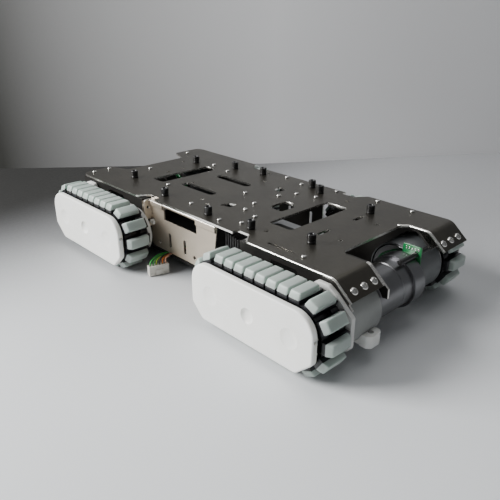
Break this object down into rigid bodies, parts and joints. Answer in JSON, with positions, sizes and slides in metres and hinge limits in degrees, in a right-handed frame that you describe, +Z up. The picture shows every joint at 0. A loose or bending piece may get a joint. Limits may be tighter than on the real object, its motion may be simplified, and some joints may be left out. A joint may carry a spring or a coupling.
{
  "type": "tracked robot chassis",
  "caption": "Low robot base: slotted steel deck on a sheet-metal tub, a gearmotor and a short padded track pod at each corner, standoffs on the deck and a loose motor lead.",
  "frame": {"origin": "on the floor under the middle of the overall length and width", "axes": "+X forward along the tracks, +Y to the left, +Z up; the drive sprockets turn about Y"},
  "size_m": [0.3132, 0.1734, 0.0606],
  "materials": {
    "dark_steel": "satin dark grey coating",
    "pale_steel": "zinc-plated, satin",
    "dark_sheet": "zinc-plated, satin",
    "black_nylon": "satin black",
    "motor_steel": "satin",
    "board_green": "glossy solder mask",
    "frame_nylon": "natural nylon",
    "white_nylon": "natural white nylon, fine grain",
    "track_pads": "black links with milky translucent pads",
    "sprocket_plastic": "satin",
    "bright_steel": "ground",
    "lead_insulation": "soft glossy insulation",
    "plug_white": "white nylon"
  },
  "bodies": {
    "chassis": {"top_plate": "dark_steel", "standoff_01": "black_nylon", "standoff_02": "black_nylon", "standoff_03": "black_nylon", "standoff_04": "black_nylon", "standoff_05": "black_nylon", "standoff_06": "black_nylon", "standoff_07": "black_nylon", "standoff_08": "black_nylon", "standoff_09": "black_nylon", "standoff_10": "black_nylon", "standoff_11": "black_nylon", "bottom_tray": "pale_steel", "side_plate_right": "pale_steel", "side_plate_left": "pale_steel", "motor_bracket_front_right": "dark_sheet", "gearmotor_front_right": "motor_steel", "encoder_board_front_right": "board_green", "pod_frame_front_right": "frame_nylon", "outer_cover_front_right": "white_nylon", "track_front_right": "track_pads", "idler_axle_front_right": "bright_steel", "motor_bracket_front_left": "dark_sheet", "gearmotor_front_left": "motor_steel", "encoder_board_front_left": "board_green", "pod_frame_front_left": "frame_nylon", "outer_cover_front_left": "white_nylon", "track_front_left": "track_pads", "idler_axle_front_left": "bright_steel", "motor_bracket_rear_right": "dark_sheet", "gearmotor_rear_right": "motor_steel", "encoder_board_rear_right": "board_green", "pod_frame_rear_right": "frame_nylon", "outer_cover_rear_right": "white_nylon", "track_rear_right": "track_pads", "idler_axle_rear_right": "bright_steel", "motor_bracket_rear_left": "dark_sheet", "gearmotor_rear_left": "motor_steel", "encoder_board_rear_left": "board_green", "pod_frame_rear_left": "frame_nylon", "outer_cover_rear_left": "white_nylon", "track_rear_left": "track_pads", "idler_axle_rear_left": "bright_steel", "lead_clip": "white_nylon", "motor_lead": "lead_insulation", "lead_connector": "plug_white"},
    "drive_front_right": {"drive_sprocket_front_right": "sprocket_plastic", "drive_shaft_front_right": "bright_steel"},
    "idler_front_right": {"idler_sprocket_front_right": "sprocket_plastic"},
    "drive_front_left": {"drive_sprocket_front_left": "sprocket_plastic", "drive_shaft_front_left": "bright_steel"},
    "idler_front_left": {"idler_sprocket_front_left": "sprocket_plastic"},
    "drive_rear_right": {"drive_sprocket_rear_right": "sprocket_plastic", "drive_shaft_rear_right": "bright_steel"},
    "idler_rear_right": {"idler_sprocket_rear_right": "sprocket_plastic"},
    "drive_rear_left": {"drive_sprocket_rear_left": "sprocket_plastic", "drive_shaft_rear_left": "bright_steel"},
    "idler_rear_left": {"idler_sprocket_rear_left": "sprocket_plastic"}
  },
  "joints": [
    {"name": "drive_front_right_spin", "type": "hinge", "parent": "chassis", "child": "drive_front_right", "pos_m": [0.1305, -0.071, 0.02607], "axis": [0, 1, 0], "continuous": true},
    {"name": "idler_front_right_spin", "type": "hinge", "parent": "chassis", "child": "idler_front_right", "pos_m": [0.063, -0.071, 0.02607], "axis": [0, 1, 0], "continuous": true},
    {"name": "drive_front_left_spin", "type": "hinge", "parent": "chassis", "child": "drive_front_left", "pos_m": [0.1219, 0.071, 0.02607], "axis": [0, 1, 0], "continuous": true},
    {"name": "idler_front_left_spin", "type": "hinge", "parent": "chassis", "child": "idler_front_left", "pos_m": [0.0544, 0.071, 0.02607], "axis": [0, 1, 0], "continuous": true},
    {"name": "drive_rear_right_spin", "type": "hinge", "parent": "chassis", "child": "drive_rear_right", "pos_m": [-0.1305, -0.071, 0.02607], "axis": [0, 1, 0], "continuous": true},
    {"name": "idler_rear_right_spin", "type": "hinge", "parent": "chassis", "child": "idler_rear_right", "pos_m": [-0.063, -0.071, 0.02607], "axis": [0, 1, 0], "continuous": true},
    {"name": "drive_rear_left_spin", "type": "hinge", "parent": "chassis", "child": "drive_rear_left", "pos_m": [-0.1219, 0.071, 0.02607], "axis": [0, 1, 0], "continuous": true},
    {"name": "idler_rear_left_spin", "type": "hinge", "parent": "chassis", "child": "idler_rear_left", "pos_m": [-0.0544, 0.071, 0.02607], "axis": [0, 1, 0], "continuous": true}
  ],
  "couplings": [
    {"joint": "idler_front_right_spin", "follows": "drive_front_right_spin", "ratio": 1},
    {"joint": "idler_front_left_spin", "follows": "drive_front_left_spin", "ratio": 1},
    {"joint": "idler_rear_right_spin", "follows": "drive_rear_right_spin", "ratio": 1},
    {"joint": "idler_rear_left_spin", "follows": "drive_rear_left_spin", "ratio": 1}
  ]
}
